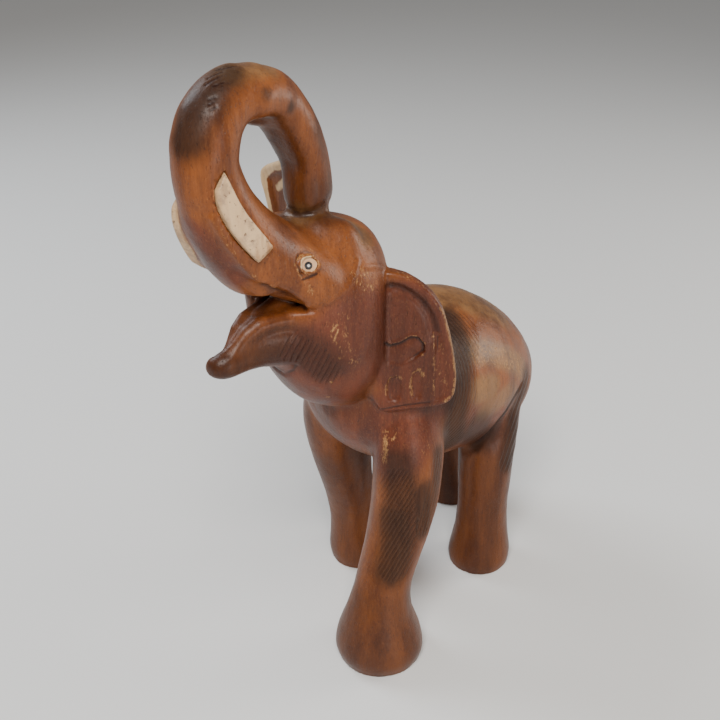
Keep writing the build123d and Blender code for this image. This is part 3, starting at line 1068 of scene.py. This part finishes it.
def gouged(g, base, char_and_shade):
    """(colour, how deep in a stroke) of the hatched patches, a little paler on the crests of charred and
    painted-shade patches.
    """
    wobble = g.times(g.noise(90, 2, 0.5), 0.5)
    across = g.math("FRACT", g.plus(g.attribute("stroke"), wobble))
    from_groove = g.math("ABSOLUTE", g.plus(across, -0.5))
    ragged = g.plus(g.attribute("hatched"), g.times(g.noise(130, 2, 0.5), 0.5))
    struck = g.window(ragged, 0.45, 0.75)
    groove = g.times(g.window(from_groove, 0.26, 0.06), struck)
    base = g.mix(g.times(groove, 0.2), base, colour(40, 20, 14))
    crest = g.times(g.times(g.window(from_groove, 0.34, 0.5), struck), char_and_shade)
    return g.mix(g.times(crest, 0.09), base, colour(116, 96, 78)), groove


def wood_material():
    """Stained and lacquered hardwood, scorched in places and worn pale on its edges, with painted shade in
    its hollows and creases and painted sheen on its back, rump and cheek.
    """
    g = Graph("stained_wood")
    along = g.stretched((1.0, 1.0, 0.12))
    figure = g.noise(60, 5, 0.6, along, 0.15)
    fine = g.noise(420, 3, 0.6, along)
    pores = g.window(g.noise(1500, 2, 0.5, g.stretched((1.0, 1.0, 0.3))), 0.60, 0.72)

    base, wear_and_sheen = worn(g, stained(g, figure, fine, pores), fine)
    base, char_and_shade = darkened(g, base, fine)
    base, groove = gouged(g, base, char_and_shade)
    rough = g.plus(g.window(figure, 0.3, 0.7, 0.36, 0.46), g.times(char_and_shade, 0.05))
    g.set(Base_Color=base, Roughness=g.plus(rough, g.times(wear_and_sheen, 0.12)))
    g.set(Specular_IOR_Level=g.plus(0.27, g.times(char_and_shade, -0.15)), Coat_Weight=0.06, Coat_Roughness=0.25)
    height = g.plus(g.times(fine, 0.30), g.times(pores, -0.22))
    height = g.plus(height, g.times(groove, -0.5))
    g.bump(g.plus(height, g.times(g.noise(160, 2, 0.5), 0.45)), TOOL_MARKS)
    return g.material


def pale_material():
    """Plain pale wood with brown streaks, stains and open pits."""
    g = Graph("pale_tusk")
    streak = g.noise(70, 5, 0.65, g.stretched((1.0, 1.0, 0.25)), 0.8)
    stain = g.noise(130, 4, 0.65)
    base = g.mix(g.window(streak, 0.38, 0.62), colour(160, 116, 76), colour(206, 172, 130))
    base = g.mix(g.window(stain, 0.46, 0.64, 0.0, 0.7), base, colour(148, 120, 94))
    pits = g.window(g.noise(520, 2, 0.5), 0.66, 0.74)
    base = g.mix(g.times(pits, 0.8), base, colour(120, 88, 62))
    g.set(Base_Color=base, Roughness=0.5, Coat_Weight=0.15, Coat_Roughness=0.3)
    g.bump(g.plus(g.times(streak, 0.6), g.times(pits, -0.7)), TOOL_MARKS)
    return g.material


def plain_material(name, shade, roughness, metallic=0.0, coat=0.0):
    """One colour, a little uneven in tone and gloss."""
    g = Graph(name)
    tone = g.noise(900, 3, 0.6)
    darker = (*[c * 0.7 for c in shade[:3]], 1.0)
    g.set(Base_Color=g.mix(tone, darker, shade), Metallic=metallic, Coat_Weight=coat)
    g.set(Roughness=g.window(tone, 0.3, 0.7, roughness * 0.8, roughness * 1.2))
    g.bump(tone, FINE_GRAIN)
    return g.material


# ---- marks on the wood ----


def give(obj, name, values):
    """Store one number per vertex for the material to read."""
    layer = obj.data.attributes.new(name, "FLOAT", "POINT")
    layer.data.foreach_set("value", np.ascontiguousarray(values, np.float32))


def bend_of(solid, points, radius):
    """How much a surface bulges (positive) or hollows (negative) over a radius, at each point."""
    soft = solid.blurred(radius)
    place = points / solid.voxel - solid.corner
    low = np.clip(np.floor(place).astype(int), 0, np.array(soft.shape) - 2)
    part = place - low
    total = np.zeros(len(points))
    for corner in range(8):
        step = np.array([corner & 1, corner >> 1 & 1, corner >> 2])
        weight = np.where(step, part, 1 - part).prod(1)
        at = low + step
        total += weight * soft[at[:, 0], at[:, 1], at[:, 2]]
    return total


def strongest(points, marks):
    total = np.zeros(len(points))
    for line, radius, feather, strength in marks:
        total = np.maximum(total, strength * near_line(points, line, radius, feather))
    return total


def on_left_ear(points):
    """(how surely on its front face, places in its plane)."""
    out, up, forward = ear_coordinates(LEFT_EAR, points)
    surely = smoothstep(-4, -1, forward) * (1 - smoothstep(8, 10, forward)) * smoothstep(-6, -3, out)
    return surely, np.stack([out, up], -1)


def round_eyes(points):
    """(how near an eye's plane, places in it), the right side folded onto the left."""
    back, rise, outward = eye_axes()
    from_eye = points * np.where(points[:, :1] < 0, [-1, 1, 1], [1, 1, 1]) - EYE_AT
    near_eye = 1 - smoothstep(5, 8, np.abs(from_eye @ outward))
    return near_eye, np.stack([from_eye @ back, from_eye @ rise], -1)


def mark_wood(obj, solid, points):
    bend = bend_of(solid, points, BEND_RADIUS)
    on_ear, ear_plane = on_left_ear(points)
    near_eye, eye_plane = round_eyes(points)
    rubs_and_sheen = np.maximum(strongest(points, RUBS_AND_SHEEN), on_ear * strongest(ear_plane, EAR_RUBS))
    rubs_and_sheen = np.maximum(rubs_and_sheen, near_eye * strongest(eye_plane, EYE_RUBS))
    shades = np.maximum(on_ear * strongest(ear_plane, EAR_SHADES), near_eye * strongest(eye_plane, EYE_SHADES))
    shades = np.maximum(shades, strongest(points, [(line, *NICK_SHADE) for line in NICKS]))
    give(obj, "rubbed_and_sheen", np.maximum(EDGE_WEAR * smoothstep(*WORN_BENDS, bend), rubs_and_sheen))
    give(obj, "hollow_shade", np.maximum(smoothstep(*SHADED_BENDS, -bend), shades))
    give(obj, "bare", np.maximum(strongest(points, BARE), near_eye * strongest(eye_plane, EYE_BARE)))
    stains_and_painted_light = {"burnt_and_shaded": SCORCHES_AND_SHADE, "purple": PLUM_STAINS, "olive_and_sheen": OLIVE_STAINS_AND_SHEEN, "shaded_and_darker": SHADED_AND_DARKER_PARTS}
    for name, marks in stains_and_painted_light.items():
        give(obj, name, strongest(points, marks))
    amount, stroke = hatch(points)
    give(obj, "hatched", amount)
    give(obj, "stroke", stroke)


# ---- the scene ----


def build_wood():
    solid = carve_wood()
    points, quads = biggest_surface(*solid.mesh())
    obj = add_piece("carved_elephant", points, quads, wood_material(), "carved_body")
    mark_wood(obj, solid, points)


def build_tusk(side, pale):
    """A tusk with softened edges, a slanting tip and a knife facet across its lower end."""
    node = "tusk_" + side
    solid = solid_of(node, INLAY_VOXEL)
    softened = solid.blurred(TUSK_ROUNDING)
    trimmed = smooth_max(softened, beyond_tusk(side, solid.axes()), TUSK_ARRIS)
    solid.values = trimmed.astype(np.float32)
    points, quads = solid.mesh()
    obj = add_piece(node + "_carved", points, quads, pale, node)


def dress_inlays():
    finishes = {
        "tusk_dowel_": plain_material("dowel_wood", colour(190, 150, 104), 0.6),
        "eye_white_": plain_material("eye_inlay", colour(216, 172, 130), 0.45, coat=0.1),
        "eye_bead_": plain_material("eye_black", colour(22, 20, 20), 0.25, coat=0.6),
        "eye_pin_": plain_material("eye_pin_metal", colour(226, 222, 214), 0.3, metallic=0.4),
    }
    for name, material in finishes.items():
        for side in SIGN:
            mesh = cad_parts[name + side].data
            mesh.materials.clear()
            mesh.materials.append(material)


def light(name, place, aim, size, power, shade):
    data = bpy.data.lights.new(name, "AREA")
    data.shape = "SQUARE"
    data.size = size
    data.energy = power
    data.color = shade
    lamp = bpy.data.objects.new(name, data)
    bpy.context.scene.collection.objects.link(lamp)
    lamp.location = place
    lamp.rotation_euler = (Vector((0.0, 0.0, aim)) - Vector(place)).to_track_quat("-Z", "Y").to_euler()


def studio():
    world = bpy.data.worlds.new("room")
    world.use_nodes = True
    background = world.node_tree.nodes["Background"]
    background.inputs["Color"].default_value = (1.0, 0.98, 0.95, 1.0)
    background.inputs["Strength"].default_value = ROOM_LIGHT
    bpy.context.scene.world = world
    for lamp in LAMPS:
        light(*lamp)

    bpy.ops.mesh.primitive_plane_add(size=FLOOR_SIZE, location=(0, 0, 0))
    floor = bpy.context.object
    floor.name = "floor"
    g = Graph("pale_floor")
    g.set(Base_Color=(FLOOR_GREY, FLOOR_GREY, FLOOR_GREY, 1.0), Roughness=0.9)
    floor.data.materials.append(g.material)


def camera():
    data = bpy.data.cameras.new("camera")
    data.lens = CAMERA_LENS
    data.sensor_width = CAMERA_SENSOR
    data.clip_start = CAMERA_NEAREST
    eye = bpy.data.objects.new("camera", data)
    bpy.context.scene.collection.objects.link(eye)
    eye.location = scene_place(CAMERA_PLACE)
    eye.rotation_euler = (math.radians(90 - CAMERA_PITCH), 0, math.radians(CAMERA_AZIMUTH))
    bpy.context.scene.camera = eye


build_wood()
pale = pale_material()
for side in SIGN:
    build_tusk(side, pale)
dress_inlays()
studio()
camera()
